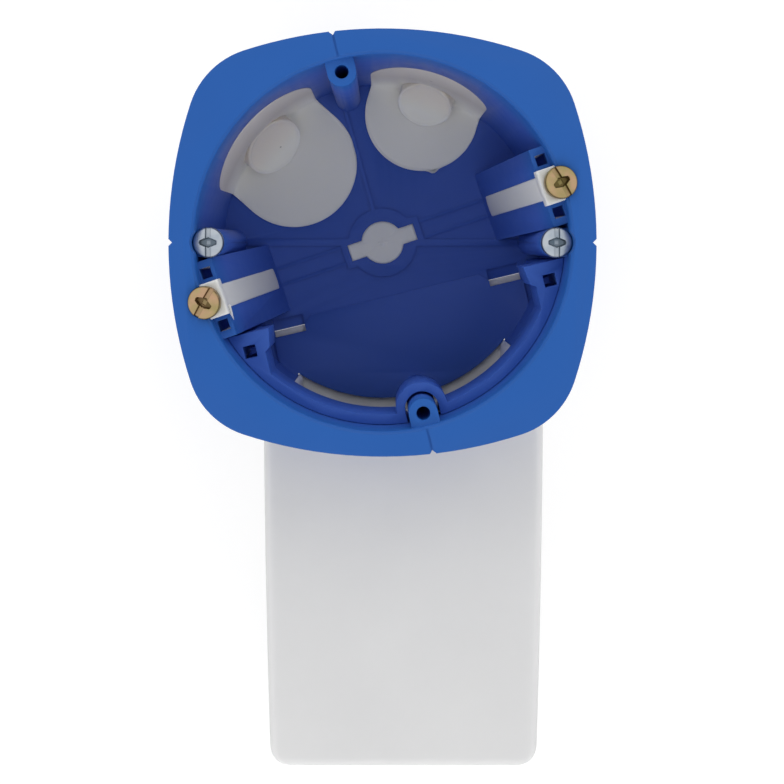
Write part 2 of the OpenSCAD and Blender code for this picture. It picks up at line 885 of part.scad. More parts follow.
module module_pocket() {
    color(soft_white)
        difference() {
            union() {
                difference() {
                    pocket_outer();
                    translate([0, 0, -body_depth - 1])
                        cylinder(r = body_r + slot_gap, h = body_depth + 2);
                    difference() {
                        pocket_inner();
                        translate([0, 0, -body_depth - 1])
                            cylinder(r = body_r + 1, h = body_depth + 2);
                    }
                    mouth_space(-slot_gap - rim_t);
                }
                pocket_mouth_rim();
                intersection() {
                    translate([0, 0, -body_depth]) linear_extrude(skin_t) tongue_outline(-slot_gap);
                    translate([0, 0, -body_depth - 1]) cylinder(r = body_r + 1, h = 3);
                }
            }
            along(boss_turn + 180)
                block([device_r - boss_r, -boss_r - move_gap, floor_z - eps],
                      [bore_r + wall_t / 2 + slot_gap, boss_r + move_gap, 1]);
        }
}

housing();
pocket_retainer();
module_pocket();
large_entry_membrane();
small_entry_membrane();
centre_membrane();
claw_seal_left();
claw_seal_right();
claw_screw_left();
claw_screw_right();
claw_left();
claw_right();
device_screw_left();
device_screw_right();
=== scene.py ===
# %% [markdown]
# # A flush device box, dressed for its portrait
# The box sits in a hollow wall behind a switch or a socket. It is a blue moulding with soft white
# cable entries, a soft pocket for a relay module, two claw screws and two device screws. Its
# construction was drawn in CAD and comes in below as a fixed frame; this script gives it the
# finish of the real one. All shapes are worked out in millimetres and stored in metres.

# %% Tools and the fixed frame
import math

import bmesh
import bpy
import numpy as np
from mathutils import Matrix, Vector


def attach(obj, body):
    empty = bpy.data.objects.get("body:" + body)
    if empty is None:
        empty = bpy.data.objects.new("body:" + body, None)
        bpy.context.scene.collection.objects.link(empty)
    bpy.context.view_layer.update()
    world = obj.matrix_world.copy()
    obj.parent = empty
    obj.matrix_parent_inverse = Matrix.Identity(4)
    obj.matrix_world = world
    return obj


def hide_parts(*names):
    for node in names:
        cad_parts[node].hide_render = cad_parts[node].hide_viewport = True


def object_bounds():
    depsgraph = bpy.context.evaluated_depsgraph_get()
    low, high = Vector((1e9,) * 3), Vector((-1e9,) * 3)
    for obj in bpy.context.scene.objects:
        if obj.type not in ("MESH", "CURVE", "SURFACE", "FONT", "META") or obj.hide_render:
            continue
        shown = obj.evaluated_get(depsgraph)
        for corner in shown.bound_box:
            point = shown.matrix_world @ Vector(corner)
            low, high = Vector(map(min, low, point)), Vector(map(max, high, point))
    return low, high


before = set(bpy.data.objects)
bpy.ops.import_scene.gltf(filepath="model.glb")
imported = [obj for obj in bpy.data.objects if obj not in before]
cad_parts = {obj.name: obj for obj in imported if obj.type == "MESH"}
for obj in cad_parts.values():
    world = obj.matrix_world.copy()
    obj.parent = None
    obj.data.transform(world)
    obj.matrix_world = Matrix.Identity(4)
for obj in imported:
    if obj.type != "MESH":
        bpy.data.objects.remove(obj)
cad_box = [list(corner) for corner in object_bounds()]
MM = 0.001
print("CAD box in mm:", np.round(np.array(cad_box) / MM, 2).tolist())

# %% [markdown]
# ## Camera
# The photograph looks straight down the axis of the round body, but the axis isn't in the middle
# of the picture: the photographer's frame was cropped below it. A shifted lens gives exactly that
# and keeps the camera level; a tilted camera would make the round rim an oval.

# %% Camera
image_px, focal_px = 784, 1180
axis_px, axis_py = 382.5, 242.5
camera_z = 201.5

lens = bpy.data.cameras.new("camera")
lens.lens = lens.sensor_width * focal_px / image_px
lens.shift_x = (image_px / 2 - axis_px) / image_px
lens.shift_y = (axis_py - image_px / 2) / image_px
lens.clip_start = 0.01
camera = bpy.data.objects.new("camera", lens)
camera.location = (0, 0, camera_z * MM)
bpy.context.scene.collection.objects.link(camera)
bpy.context.scene.camera = camera
bpy.context.scene.view_settings.view_transform = "Standard"
print("lens", round(lens.lens, 2), "shift", round(lens.shift_x, 4), round(lens.shift_y, 4))

# %% [markdown]
# ## Shader sums
# A finish is a sum of small effects: a base colour, a slow cloudiness, a fine grain. Written with
# nodes by hand that is hard to read, so one small class wraps a node's output, and Python's own
# signs then add the Math nodes.

# %% A socket that can be added and multiplied
class Socket:
    """One output in a material's node tree. + - and * on it add Math nodes, and add() adds any
    other node: its settings are set first, and then its sockets get values or links."""

    def __init__(self, tree, out=None):
        self.tree, self.out = tree, out

    def add(self, kind, settings, sockets, take=0):
        node = self.tree.nodes.new("ShaderNode" + kind)
        for name, value in settings.items():
            setattr(node, name, value)
        for name, value in sockets.items():
            if isinstance(value, Socket):
                self.tree.links.new(value.out, node.inputs[name])
            else:
                node.inputs[name].default_value = value
        return Socket(self.tree, node.outputs[take] if node.outputs else None)

    def sum(self, operation, first, second):
        return self.add("Math", {"operation": operation}, {0: first, 1: second})

    def __add__(self, other):
        return self.sum("ADD", self, other)

    def __radd__(self, other):
        return self.sum("ADD", other, self)

    def __sub__(self, other):
        return self.sum("SUBTRACT", self, other)

    def __rsub__(self, other):
        return self.sum("SUBTRACT", other, self)

    def __mul__(self, other):
        return self.sum("MULTIPLY", self, other)

    def __rmul__(self, other):
        return self.sum("MULTIPLY", other, self)


# %% [markdown]
# ## Floor and light
# The product picture has a white ground and even studio light, so the box lies on a pale floor
# under a white sky. Soft boxes stood round the object and the camera hung between them, so the
# sky's light is weak overhead and strong towards the sides: the flange is bright, and the floor
# of the box, which only sees the middle of the sky, is dark. The eye and the metal still see a
# white room. The light from above and below the picture is stronger than the light from its left
# and right, as it is between two long soft boxes.

# %% Sky
world = bpy.data.worlds.new("studio")
world.use_nodes = True
world.node_tree.nodes.clear()
sky = Socket(world.node_tree)
seen = sky.add("LightPath", {}, {}, "Is Camera Ray")
mirrored = sky.add("LightPath", {}, {}, "Is Glossy Ray")
through = sky.add("LightPath", {}, {}, "Is Transmission Ray")
overhead, sideways_light, lopsided = 0.52, 1.34, 0.5
direction = sky.add("TexCoord", {}, {}, "Generated")
across, along, towards = [sky.add("SeparateXYZ", {}, {"Vector": direction}, axis) for axis in "XYZ"]
middle = sky.add("MapRange", {"interpolation_type": "SMOOTHSTEP"},
                 {"Value": towards, "From Min": 0.66, "From Max": 0.86})
sideways = sideways_light + lopsided * (along * along - across * across)
sky_light = sideways + (overhead - sideways) * middle
white_ray = sky.sum("MINIMUM", seen + mirrored + through, 1.0)
shine = sky.add("Background", {}, {"Color": (1, 1, 1, 1),
                                   "Strength": sky_light + (1.0 - sky_light) * white_ray})
sky.add("OutputWorld", {}, {"Surface": shine})
bpy.context.scene.world = world
print("sky from", overhead, "overhead to", sideways_light, "sideways")

# %% Floor
under_gap, half, paper_glow = 0.2, 1500.0, 0.6
floor_z = cad_box[0][2] / MM - under_gap
floor_mesh = bpy.data.meshes.new("floor")
corners = ((-half, -half), (half, -half), (half, half), (-half, half))
floor_mesh.from_pydata([(x * MM, y * MM, floor_z * MM) for x, y in corners], [], [(0, 1, 2, 3)])
floor = bpy.data.objects.new("floor", floor_mesh)
bpy.context.scene.collection.objects.link(floor)

paper = bpy.data.materials.new("paper")
paper.use_nodes = True
paper.node_tree.nodes.clear()
sheet = Socket(paper.node_tree)
seen = sheet.add("LightPath", {}, {}, "Is Camera Ray")
mirrored = sheet.add("LightPath", {}, {}, "Is Glossy Ray")
plain = sheet.add("BsdfDiffuse", {}, {"Color": (0.5, 0.5, 0.5, 1)})
glow = sheet.add("Emission", {}, {"Color": (1, 1, 1, 1), "Strength": paper_glow * (seen + mirrored)})
both = sheet.add("AddShader", {}, {0: plain, 1: glow})
under = sheet.add("NewGeometry", {}, {}, "Backfacing")
clear = sheet.add("BsdfTransparent", {}, {})
sheet.add("OutputMaterial", {}, {"Surface": sheet.add("MixShader", {}, {0: under, 1: both, 2: clear})})
floor_mesh.materials.append(paper)
print("paper floor", floor_z, "mm from the wall plane")

# %% [markdown]
# ## Finishes
# Four kinds of surface: satin moulded plastic, soft milky rubber-like plastic, and steel with a
# yellow or a bright zinc coat. Each gets a slow change of colour, a fine grain in its bump and a
# roughness that wanders a little, because a moulding tool and a plating bath never leave one
# perfectly even skin.

# %% A finish from its varying inputs
def noise(here, per_mm, detail=2.0):
    """Cloudy noise from 0 to 1 with so many clouds in a millimetre."""
    return here.add("TexNoise", {}, {"Vector": here, "Scale": per_mm / MM, "Detail": detail})


def blend(here, share, first, second):
    """Colour between two colours; share 0 is the first."""
    return here.add("Mix", {"data_type": "RGBA"}, {0: share, 6: first, 7: second}, 2)


def finish(name, vary, **constant):
    """A material whose even inputs are given by name and whose varying ones vary(here) returns."""
    made = bpy.data.materials.new(name)
    made.use_nodes = True
    made.node_tree.nodes.clear()
    start = Socket(made.node_tree)
    here = start.add("TexCoord", {}, {}, "Object")
    even = {key.replace("_", " ").title().replace("Ior", "IOR"): value
            for key, value in constant.items()}
    shader = start.add("BsdfPrincipled", {}, {**even, **vary(here)})
    start.add("OutputMaterial", {}, {"Surface": shader})
    print("finish", name, "with", len(made.node_tree.nodes), "nodes")
    return made


# %% Moulded plastics
def moulded(colour, deep, inner):
    """Satin plastic: clouds between two shades, spark-eroded grain, roughness 0.38 to 0.52. From 1 to
    9 mm down inside, the colour moves towards violet: painted shade standing in for the tint of the
    light that the blue walls throw into the deep inside."""
    def vary(here):
        clouds, grain = noise(here, 0.06, 3.0), noise(here, 3.5, 3.0)
        height = here.add("SeparateXYZ", {}, {"Vector": here}, "Z")
        # Painted shade: the share of the violet colour, none 1 mm down and full 9 mm down.
        below = here.add("MapRange", {}, {"Value": height, "From Min": -1 * MM, "From Max": -9 * MM})
        return {"Base Color": blend(here, below, blend(here, clouds, colour, deep), inner),
                "Roughness": 0.38 + 0.14 * noise(here, 0.4),
                "Normal": here.add("Bump", {}, {"Strength": 0.35, "Distance": 0.02 * MM,
                                                "Height": grain + 0.6 * noise(here, 0.8)})}
    return vary


# The third colour of each finish is the painted violet shade down inside.
blue = finish("shell_blue", moulded((0.02, 0.112, 0.42, 1), (0.016, 0.1, 0.385, 1),
                                    (0.045, 0.108, 0.45, 1)), specular_ior_level=0.2)
clip = finish("clip_blue", moulded((0.03, 0.105, 0.42, 1), (0.026, 0.095, 0.38, 1),
                                   (0.042, 0.11, 0.46, 1)), specular_ior_level=0.2)


# %% Milky soft plastics
def milky(colour, deep, grain_mm, vary_more=None):
    """Soft translucent plastic: wide clouds, a dull grain and a satin to matt gloss. vary_more
    changes the colour of a part that isn't the same all over."""
    def vary(here):
        base = blend(here, noise(here, 0.045, 4.0), colour, deep)
        return {"Base Color": vary_more(here, base) if vary_more else base,
                "Roughness": 0.46 + 0.18 * noise(here, 0.25),
                "Normal": here.add("Bump", {}, {"Strength": 0.3, "Distance": 0.03 * MM,
                                                "Height": noise(here, grain_mm, 3.0)
                                                + 2.0 * noise(here, 0.22)})}
    return vary


def spot(here, place, r):
    """1 up to 0.7 r mm from a place and 0 from 1.3 r mm on."""
    off = here.add("VectorMath", {"operation": "DISTANCE"}, {0: here, 1: np.array(place) * MM}, "Value")
    return here.add("MapRange", {}, {"Value": off, "From Min": 1.3 * r * MM, "From Max": 0.7 * r * MM})


def marks_and_painted_shade(here, base):
    """Greyer up the wall, as painted shade, with the marks of a gate and an ejector pin."""
    height = here.add("SeparateXYZ", {}, {"Vector": here}, "Z")
    # Painted shade: the colour turns greyer from 36 mm down to 26 mm down, up the wall.
    up = here.add("MapRange", {}, {"Value": height, "From Min": -36 * MM, "From Max": -26 * MM})
    marks = spot(here, (-20.37, 19.09, -34.62), 0.2) + spot(here, (9.23, 30.74, -23.1), 0.3)
    return blend(here, 0.45 * marks, blend(here, up, base, (0.68, 0.63, 0.56, 1)), (0.1, 0.08, 0.06, 1))


soft = finish("soft_white", milky((0.99, 0.96, 0.88, 1), (0.97, 0.93, 0.84, 1), 2.5, marks_and_painted_shade),
              subsurface_weight=1.0, subsurface_scale=0.4 * MM, subsurface_radius=(1, 1, 1),
              specular_ior_level=0.25)
seal = finish("soft_seal", milky((0.72, 0.72, 0.7, 1), (0.6, 0.61, 0.61, 1), 2.0),
              subsurface_weight=1.0, subsurface_scale=0.8 * MM, subsurface_radius=(1, 1, 1),
              specular_ior_level=0.25)
milk = finish("pocket_white", milky((0.79, 0.79, 0.79, 1), (0.72, 0.72, 0.725, 1), 1.6),
              subsurface_weight=1.0, subsurface_scale=1.5 * MM, subsurface_radius=(1, 1, 1),
              specular_ior_level=0.25)


# %% Zinc coats
def plated(colour, tint, hue, shade):
    """Plated steel: patches of tints from the passivation and fine pits. Where a point attribute gives
    a value, the coat is darker: in the recesses of a head, partly as residue and partly as painted
    shade, and as painted shade along the walls of the slot and round the head's rim."""
    def vary(here):
        patch = here.add("MapRange", {}, {"Value": noise(here, 0.5, 3.0), "From Min": 0.35,
                                          "From Max": 0.65})
        other = here.add("MapRange", {}, {"Value": noise(here, 0.3), "From Min": 0.4, "From Max": 0.6})
        # Darker coat from a point attribute: residue and painted shade in the recesses, painted shade
        # at the slot's walls and the rim.
        residue_and_painted_shade = here.add("Attribute", {"attribute_name": "residue_and_painted_shade"}, {}, "Fac")
        coat = blend(here, 0.7 * other, blend(here, patch, colour, tint), hue)
        return {"Base Color": blend(here, residue_and_painted_shade, coat, shade),
                "Roughness": 0.22 + 0.24 * noise(here, 1.8, 4.0),
                "Normal": here.add("Bump", {}, {"Strength": 0.4, "Distance": 0.02 * MM,
                                                "Height": noise(here, 6.0, 4.0)})}
    return vary


yellow = finish("yellow_zinc", plated((0.42, 0.34, 0.16, 1), (0.5, 0.32, 0.2, 1), (0.28, 0.26, 0.09, 1),
                                      (0.05, 0.03, 0.005, 1)), metallic=1.0)
zinc = finish("white_zinc", plated((0.42, 0.47, 0.53, 1), (0.34, 0.4, 0.47, 1), (0.52, 0.56, 0.6, 1),
                                   (0.03, 0.06, 0.09, 1)), metallic=1.0)

# %% [markdown]
# ## From grids to meshes
# A surface is a grid of points: one direction of the grid runs along the piece, the other around
# it. numpy works out all points at once, and the faces are the cells of the grid. Rows that
# shrink to a point close the ends, and a merge of doubled points then makes the skin one piece.

# %% Grid helpers
def cells(shape, start, loop_u, loop_v):
    """Corner indices of a grid's cells; a direction that loops joins its end to its start."""
    ids = start + np.arange(shape[0] * shape[1]).reshape(shape[0], shape[1])
    ids = np.vstack([ids, ids[:1]]) if loop_u else ids
    ids = np.hstack([ids, ids[:, :1]]) if loop_v else ids
    return np.stack([ids[:-1, :-1], ids[1:, :-1], ids[1:, 1:], ids[:-1, 1:]], -1).reshape(-1, 4)


def piece(name, grids, look, body, slot, *nodes, sharp=40, residue_and_painted_shade=None):
    """Puts grids (points in mm, loops in u, loops in v) into one mesh that rides on a body and
    stands for CAD nodes. Edges sharper than the angle in degrees stay sharp. The last argument gives
    the points of the first grid a value for their material: how much darker the coat is, partly residue
    and partly painted shade."""
    start, points, faces = 0, [], []
    for grid, loop_u, loop_v in grids:
        faces.append(cells(grid.shape, start, loop_u, loop_v))
        points.append(grid.reshape(-1, 3) * MM)
        start += grid.shape[0] * grid.shape[1]
    mesh = bpy.data.meshes.new(name)
    mesh.from_pydata(np.concatenate(points).tolist(), [], np.concatenate(faces).tolist())
    if residue_and_painted_shade is not None:
        # Per-point darkness of the coat: residue and painted shade.
        values = np.zeros(start)
        values[:residue_and_painted_shade.size] = residue_and_painted_shade.ravel()
        mesh.attributes.new("residue_and_painted_shade", "FLOAT", "POINT").data.foreach_set("value", values)
    work = bmesh.new()
    work.from_mesh(mesh)
    bmesh.ops.remove_doubles(work, verts=work.verts, dist=0.002 * MM)
    bmesh.ops.dissolve_degenerate(work, edges=work.edges, dist=0.0002 * MM)
    bmesh.ops.recalc_face_normals(work, faces=work.faces)
    work.to_mesh(mesh)
    work.free()
    return dress(mesh, look, body, nodes, sharp)


def dress(mesh, look, body, nodes, sharp):
    """Makes an object of a mesh, smooths it up to an angle, and ties it to its body and nodes."""
    mesh.materials.clear()
    mesh.materials.append(look)
    mesh.shade_smooth()
    mesh.set_sharp_from_angle(angle=math.radians(sharp))
    made = bpy.data.objects.new(mesh.name, mesh)
    bpy.context.scene.collection.objects.link(made)
    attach(made, body)
    if nodes:
        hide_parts(*nodes)
    print(mesh.name, "has", len(mesh.polygons), "faces")
    return made


def around(turn):
    """Matrix that turns rows of x, y, z about the body's axis by an angle in degrees."""
    c, s = math.cos(math.radians(turn)), math.sin(math.radians(turn))
    return np.array([[c, s, 0], [-s, c, 0], [0, 0, 1]])


def xyz(*parts):
    """Joins three arrays or numbers into points."""
    return np.stack(np.broadcast_arrays(*parts), -1).astype(float)


def loops(centre_u, centre_v, half_u, half_v, r, wide, high, corner=6):
    """Round-cornered rectangles, one for each row of sizes: four quarter circles of radius r with
    straight sides of so many points between them. Returns u and v, row by row."""
    half_u, half_v, r, centre_u, centre_v = [np.atleast_1d(a).astype(float)[:, None] for a in
                                             np.broadcast_arrays(half_u, half_v, r, centre_u, centre_v)]
    r = np.minimum(r, np.minimum(half_u, half_v))
    us, vs = [], []
    for k, (su, sv) in enumerate(((1, 1), (-1, 1), (-1, -1), (1, -1))):
        angle = np.radians(90 * k + np.linspace(0, 90, corner))
        us.append(centre_u + su * (half_u - r) + r * np.cos(angle))
        vs.append(centre_v + sv * (half_v - r) + r * np.sin(angle))
    u, v = [], []
    for k in range(4):
        share = np.linspace(0, 1, (wide, high)[k % 2] + 2)[1:-1]
        u += [us[k], us[k][:, -1:] * (1 - share) + us[(k + 1) % 4][:, :1] * share]
        v += [vs[k], vs[k][:, -1:] * (1 - share) + vs[(k + 1) % 4][:, :1] * share]
    return np.hstack(u), np.hstack(v)


def closed(grid):
    """Adds a row at each end that is the middle of that end's row, so the ends are closed."""
    low, high = grid[:1].mean(1, keepdims=True), grid[-1:].mean(1, keepdims=True)
    n = grid.shape[1]
    return np.concatenate([np.repeat(low, n, 1), grid, np.repeat(high, n, 1)])


# %% [markdown]
# ## Moulded and stamped parts
# The housing, its retainer and the claws keep their CAD shape, which is exact. What a CAD model
# lacks is the tiny radius that every tool leaves on an edge, and it is this radius that catches
# the light. A copy of the CAD mesh is merged, its flat faces are joined again, and a Bevel
# modifier then rounds its edges by a tenth of a millimetre. The claws, which slide in their
# channels, are also made thinner all round by their running clearance.

# %% Soft edges on the rigid parts
def softened(node, look, body, width, thinner=0.0, sharp=30):
    """A copy of a CAD node with rounded edges, its faces set back by thinner mm."""
    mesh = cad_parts[node].data.copy()
    mesh.name = node + "_moulded"
    work = bmesh.new()
    work.from_mesh(mesh)
    bmesh.ops.remove_doubles(work, verts=work.verts, dist=0.002 * MM)
    bmesh.ops.dissolve_limit(work, angle_limit=math.radians(0.5), verts=work.verts, edges=work.edges)
    work.to_mesh(mesh)
    work.free()
    made = dress(mesh, look, body, [node], 180)
    bevel = made.modifiers.new("edge", "BEVEL")
    bevel.width, bevel.segments = width * MM, 2
    bevel.limit_method, bevel.angle_limit = "ANGLE", math.radians(sharp)
    bevel.harden_normals = True
    if thinner:
        fit = made.modifiers.new("fit", "DISPLACE")
        fit.strength, fit.mid_level = -thinner * MM, 0.0
    return made


moulded_edge, stamped_edge, claw_gap = 0.12, 0.08, 0.08
softened("housing", blue, "box", moulded_edge)
softened("pocket_retainer", clip, "box", moulded_edge)
for side in ("left", "right"):
    softened("claw_" + side, yellow, side + "_claw", stamped_edge, claw_gap)

# %% Sizes of the box, in mm, as its CAD source has them
bore_r, body_r, floor_top, body_low = 32.1, 33.2, -38.5, -40.0
skin, device_r = 1.0, 30
inner_turn, claw_turn = 13.45, 18.65
print("bore", 2 * bore_r, "mm across and", -floor_top, "mm deep")

# %% [markdown]
# ## The module pocket
# The pocket is a bag of soft plastic, a millimetre thick, that hangs from a mouth in the wall of
# the body. It is one closed skin: it starts at the bottom of the bag inside, comes up to the
# round body, turns through the rim of the mouth, and goes down again outside. Each row of the grid
# is a round-cornered rectangle, and near the body its points move onto the cylinder, which gives
# the saddle-shaped joint. A bag like this is never flat, so its broad faces sink a little.

# %% Pocket
pocket_x, pocket_end, pocket_front = 3.9, -97.3, -17.0
pocket_half, pocket_low_half, pocket_corner, pocket_edge = 26.3, 24.7, 3.7, 1.5
sag_from, front_sag, back_sag, side_bulge = 30, 0.45, 0.3, 0.25
saddle_r = body_r + 0.1
wide, high = 44, 8


def bag(inside, r):
    """Rows of the bag's skin, offset inwards, from its joint with a cylinder of radius r to its
    end. Round an edge of radius e the half size is less by e * (1 - sqrt(1 - t^2)), t from 0 to 1,
    and three more rows close the flat end down to a line. The faces sink as 1 - side^2."""
    end, corner = pocket_end + inside, pocket_corner - inside
    edge = pocket_edge - 0.5 * inside
    turn = np.radians(np.linspace(0, 90, 10))
    y = np.concatenate([np.full(8, -36.0), np.linspace(-37, end + corner, 30)[:-1],
                        end + corner * (1 - np.sin(turn)), [end, end, end]])
    onto = np.concatenate([np.linspace(0, 1, 8), np.ones(len(y) - 8)])
    round_y = np.clip((end + corner - y) / corner, 0, 1)
    round_z = np.clip((end + edge - y) / edge, 0, 1)
    less_w = corner * (1 - np.sqrt(1 - round_y ** 2))
    less_h = edge * (1 - np.sqrt(1 - round_z ** 2))
    mid, deep = (pocket_front + body_low) / 2, (pocket_front - body_low) / 2 - inside
    height = np.maximum(deep - less_h, 0.02)
    height[-3:] = (deep - edge) * np.array([0.6, 0.3, 0])
    less_w[-3:] += deep - edge - height[-3:]
    u, z = loops(0, mid, pocket_half - inside - less_w, height, edge, wide, high)
    side = u / (pocket_half - inside)
    for _ in range(3):  # the width depends on y, and y on the width
        row_y = y[:, None] * onto[:, None] - (1 - onto[:, None]) * np.sqrt(
            np.maximum(r * r - (pocket_x + u) ** 2, 1))
        share = (-16 - row_y) / (-16 - pocket_end)
        u = side * (pocket_half - inside - (pocket_half - pocket_low_half) * share)
    hang = np.sin(np.pi * np.clip((-row_y - sag_from) / (-pocket_end - sag_from), 0, 1)) ** 0.8
    front = np.clip((z - mid) / deep, 0, 1) ** 4
    back = np.clip((mid - z) / deep, 0, 1) ** 4
    dip = (1 - np.clip(side, -1, 1) ** 2) * hang
    z = z - front_sag * dip * front + back_sag * dip * back
    return xyz(pocket_x + u + side_bulge * side * hang, row_y, z)


def mouth(half_u, low, top, r, corner=0.4):
    """One rounded rectangle of the mouth, laid on a cylinder of radius r."""
    u, z = loops(pocket_x, (low + top) / 2, half_u, (top - low) / 2, corner, wide, high)
    return xyz(u, -np.sqrt(r * r - u * u), z)


mouth_half, mouth_top = 21.0, -19.3
rim_in = bore_r - 0.5
grid = np.concatenate([
    bag(0, saddle_r)[::-1],
    mouth(mouth_half - 0.1, body_low, mouth_top - 0.1, saddle_r),
    mouth(mouth_half - 0.1, body_low, mouth_top - 0.1, rim_in + 0.2),
    mouth(mouth_half - 0.3, body_low + 0.2, mouth_top - 0.3, rim_in),
    mouth(mouth_half - 0.7, body_low + 0.8, mouth_top - 0.7, rim_in),
    mouth(mouth_half - 0.9, body_low + skin, mouth_top - 0.9, rim_in + 0.2),
    mouth(mouth_half - 0.9, body_low + skin, mouth_top - 0.9, body_r + skin),
    bag(skin, body_r + skin),
])
print("pocket grid", grid.shape)


# %% Lip and tongue of the pocket
def curved_bar(x_low, x_high, z_low, z_high, r_low, r_high, rows=24):
    """A bar that follows the wall: a small rounded rectangle in r and z, carried round the axis
    from x_low to x_high, with closed ends."""
    x = np.linspace(x_low, x_high, rows)
    r, z = loops((r_low + r_high) / 2, (z_low + z_high) / 2, np.full(rows, (r_high - r_low) / 2),
                 (z_high - z_low) / 2, 0.15, 2, 8, 4)
    angle = np.arcsin(x / ((r_low + r_high) / 2))[:, None]
    return closed(xyz(r * np.sin(angle), -r * np.cos(angle), z))


lip_top, lip_low, lip_in, lip_out = -8.8, mouth_top - 0.9, 31.62, 31.98
lip_start, lip_end, boss_gap = -17.0, 24.8, 2.9
boss_x = device_r * math.cos(math.radians(270 + inner_turn))
tongue_half, tongue_from = 25.9, -12.6
x = np.linspace(-tongue_half, tongue_half, 60)
far = -np.sqrt((rim_in - 0.02) ** 2 - x ** 2)
y, z = loops((tongue_from + far) / 2, body_low + skin / 2, (tongue_from - far) / 2, skin / 2, 0.15,
             10, 2, 4)
tongue = closed(xyz(x[:, None], y, z)) @ around(inner_turn)
piece("module_pocket_bag", [
    (grid, False, True),
    (curved_bar(lip_start, boss_x - boss_gap, lip_low, lip_top, lip_in, lip_out), False, True),
    (curved_bar(boss_x + boss_gap, lip_end, lip_low, lip_top, lip_in, lip_out), False, True),
    (tongue, False, True),
], milk, "box", "pocket_white", "module_pocket")

# %% [markdown]
# ## Soft cable entries
# Each entry is a soft skin in the corner between wall and floor, with a round target on a short
# tube that the installer cuts off or pierces. Seen along the target's axis it is a set of rings,
# so the grid is polar: rings from the middle of the target to its edge, down the tube, and out
# over the floor and up the wall to the edge of the window, and then back on the outside.

# %% Entries
def entry(turn, r, inset, rise, face_r, gate=0.0, n=200):
    """Rings of an entry. s runs from the floor (below 0) round the corner and up the wall, and c
    across. The corner is rounded: u = (sqrt(s^2 + e^2) - s) / 2 in from the wall and
    w = (sqrt(s^2 + e^2) + s) / 2 up from the floor. The remains of a gate, gate mm long, stand
    out of the edge on the floor: gate * exp(-((bend + 0.5) / 0.08)^2) at the angle bend."""
    ease, foot, tube_wall = 0.9, 7.2, 0.6
    psi = np.linspace(0, 2 * np.pi, n, endpoint=False)
    a = foot / (2 * face_r)
    b = math.sqrt(1 - a * a)

    def laid(s, c, out):
        root = np.sqrt(s * s + ease * ease)
        return xyz(np.sqrt((bore_r + out) ** 2 - c * c) - (root - s) / 2, c,
                   floor_top - out + (root + s) / 2)

    def raised(c, tau, height):
        """Points over the target's face: tau along it, height off it."""
        return xyz(bore_r - foot / 2 + tau * a - height * b, c,
                   floor_top + face_r * b + tau * b + height * a)

    def skin_height(c, tau, out):
        """Height of the corner's surface under the face: the floor's or the wall's, the greater."""
        on_floor = (-out - (face_r + tau) * b) / a
        wall = np.sqrt((bore_r + out) ** 2 - c * c) - bore_r
        return np.maximum(on_floor, -(wall + foot / 2 - tau * a) / b)

    def ring(rho, height, out=0.0):
        c, tau = rho * np.cos(psi), rho * np.sin(psi)
        return raised(c, tau, np.maximum(height, skin_height(c, tau, out)))

    def tube_foot(rho, out):
        """s and c of the ring in which a tube of radius rho meets the corner."""
        c, tau = rho * np.cos(psi), rho * np.sin(psi)
        at = raised(c, tau, skin_height(c, tau, out))
        low = at[:, 2] - (floor_top - out)
        return np.where(low > 1e-6, low, at[:, 0] - np.sqrt((bore_r + out) ** 2 - c * c)), c

    t = np.linspace(0, np.pi / 2, 60)
    sag = bore_r - np.sqrt(bore_r ** 2 - (r * np.cos(t)) ** 2)
    side = np.linspace(rise, sag[0] - inset, 40)[1:-1]
    half_s = np.concatenate([rise + r * np.cos(t), side, sag - inset - r * np.sin(t)])
    half_c = np.concatenate([r * np.sin(t), np.full(38, r), r * np.cos(t)])
    run = np.concatenate([[0], np.cumsum(np.hypot(np.diff(half_s), np.diff(half_c)))])
    part = run[-1] * np.arccos(np.clip(np.sin(psi), -1, 1)) / np.pi
    edge_s = np.interp(part, run, half_s)
    edge_c = np.interp(part, run, half_c) * np.where(np.cos(psi) < 0, -1, 1)
    bend = np.arctan2(edge_c, bore_r - np.sqrt(bore_r ** 2 - edge_c ** 2) - inset - edge_s)
    nub = gate * np.exp(-((bend + 0.5) / 0.08) ** 2)
    out_s, out_c = edge_s - nub * np.cos(bend), edge_c + nub * np.sin(bend)

    face, bead = -0.2, face_r - 0.4
    rows = [ring(rho, face) for rho in np.linspace(0, bead - 0.5, 8)]
    rows += [ring(bead + off, face + lift) for off, lift in
             ((-0.3, 0.03), (-0.15, 0.12), (0, 0.2), (0.2, 0.14), (0.35, 0.02))]
    c, tau = face_r * np.cos(psi), face_r * np.sin(psi)
    level = skin_height(c, tau, 0)
    rows += [raised(c, tau, level + np.maximum(face - 0.1 - level, 0) * k)
             for k in (1, 0.75, 0.5, 0.25, 0.1)]
    s0, c0 = tube_foot(face_r, 0)
    share = np.array([0.015, 0.03, 0.06, 0.1, 0.15, 0.2, 0.27, 0.34, 0.42, 0.5, 0.58, 0.66, 0.74, 0.81,
                      0.87, 0.92, 0.95, 0.967, 0.98, 0.992])
    proud = np.where(share > 0.96, 0.13, 0.05)
    rows += [laid(s0 + k * (out_s - s0), c0 + k * (out_c - c0), -up)
             for k, up in zip(share, proud)]
    rows += [laid(out_s, out_c, -0.05), laid(edge_s, edge_c, -0.02), laid(edge_s, edge_c, skin)]
    s0, c0 = tube_foot(face_r - tube_wall, skin)
    rows += [laid(s0 + k * (edge_s - s0), c0 + k * (edge_c - c0), skin) for k in share[-4::-1]]
    rows += [ring(rho, height, skin) for rho, height in
             ((face_r - tube_wall, -9), (face_r - tube_wall, face - tube_wall),
              (face_r / 2, face - tube_wall), (0, face - tube_wall))]
    return np.stack(rows) @ around(turn)


